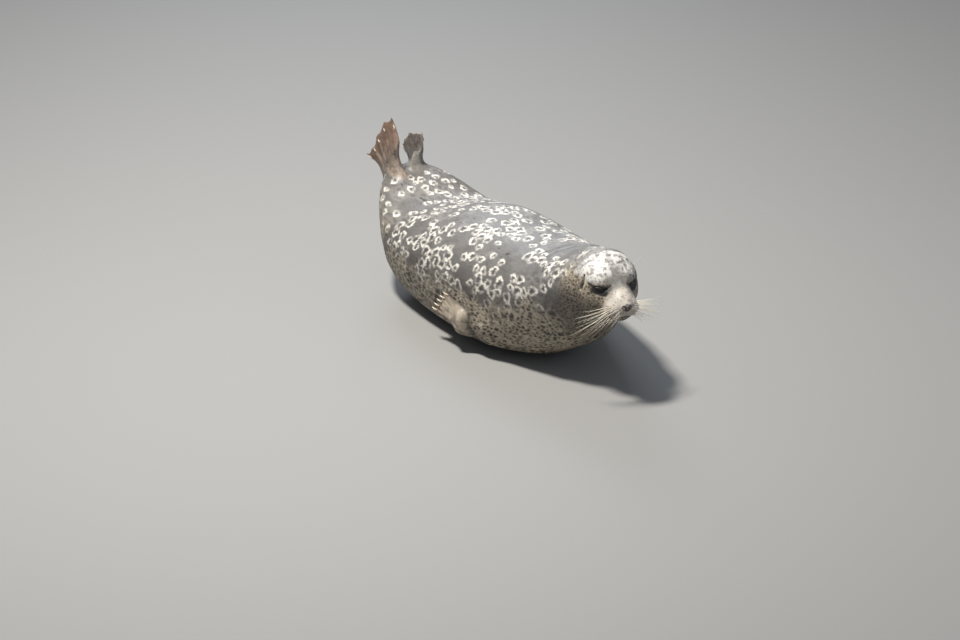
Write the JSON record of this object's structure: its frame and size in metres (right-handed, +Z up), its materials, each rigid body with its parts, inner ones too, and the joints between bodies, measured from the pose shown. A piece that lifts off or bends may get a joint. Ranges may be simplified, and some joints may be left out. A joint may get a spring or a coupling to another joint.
{
  "type": "harbor seal",
  "caption": "Life-size still model of a spotted harbor seal resting on its belly, head turned to look ahead and hind flippers raised, for a museum display.",
  "frame": {"origin": "on the floor under the flat of the belly, on the body's midline", "axes": "+Z up; the seal faces -Y, so +Y runs back to the hind flippers; +X is its left side"},
  "size_m": [0.5158, 1.329, 0.4993],
  "materials": {
    "coat": "short wet-look grey fur with cream rings, paler and spotted below",
    "flipper_skin": "thinly furred brown-grey flipper skin with darker webs",
    "eye": "wet dark glossy eye",
    "nose": "moist pebbled grey-brown bare nose",
    "claw": "pale worn horn, darker at the root"
  },
  "bodies": {
    "root": {"neck": "coat", "chest": "coat", "belly": "coat", "loin": "coat", "rump": "coat", "throat": "coat", "lower_jaw": "coat", "nose": "nose", "muzzle": "coat", "head": "coat", "tail": "coat", "eye_right": "eye", "fore_flipper_right": "coat", "hind_flipper_right": "flipper_skin", "eye_left": "eye", "fore_flipper_left": "coat", "hind_flipper_left": "flipper_skin", "fore_claw_right_1": "claw", "fore_claw_right_2": "claw", "fore_claw_right_3": "claw", "fore_claw_right_4": "claw", "fore_claw_right_5": "claw", "fore_claw_left_1": "claw", "fore_claw_left_2": "claw", "fore_claw_left_3": "claw", "fore_claw_left_4": "claw", "fore_claw_left_5": "claw", "hind_claw_right_1": "claw", "hind_claw_right_2": "claw", "hind_claw_right_3": "claw", "hind_claw_right_4": "claw", "hind_claw_right_5": "claw", "hind_claw_left_1": "claw", "hind_claw_left_2": "claw", "hind_claw_left_3": "claw", "hind_claw_left_4": "claw", "hind_claw_left_5": "claw"}
  },
  "joints": []
}
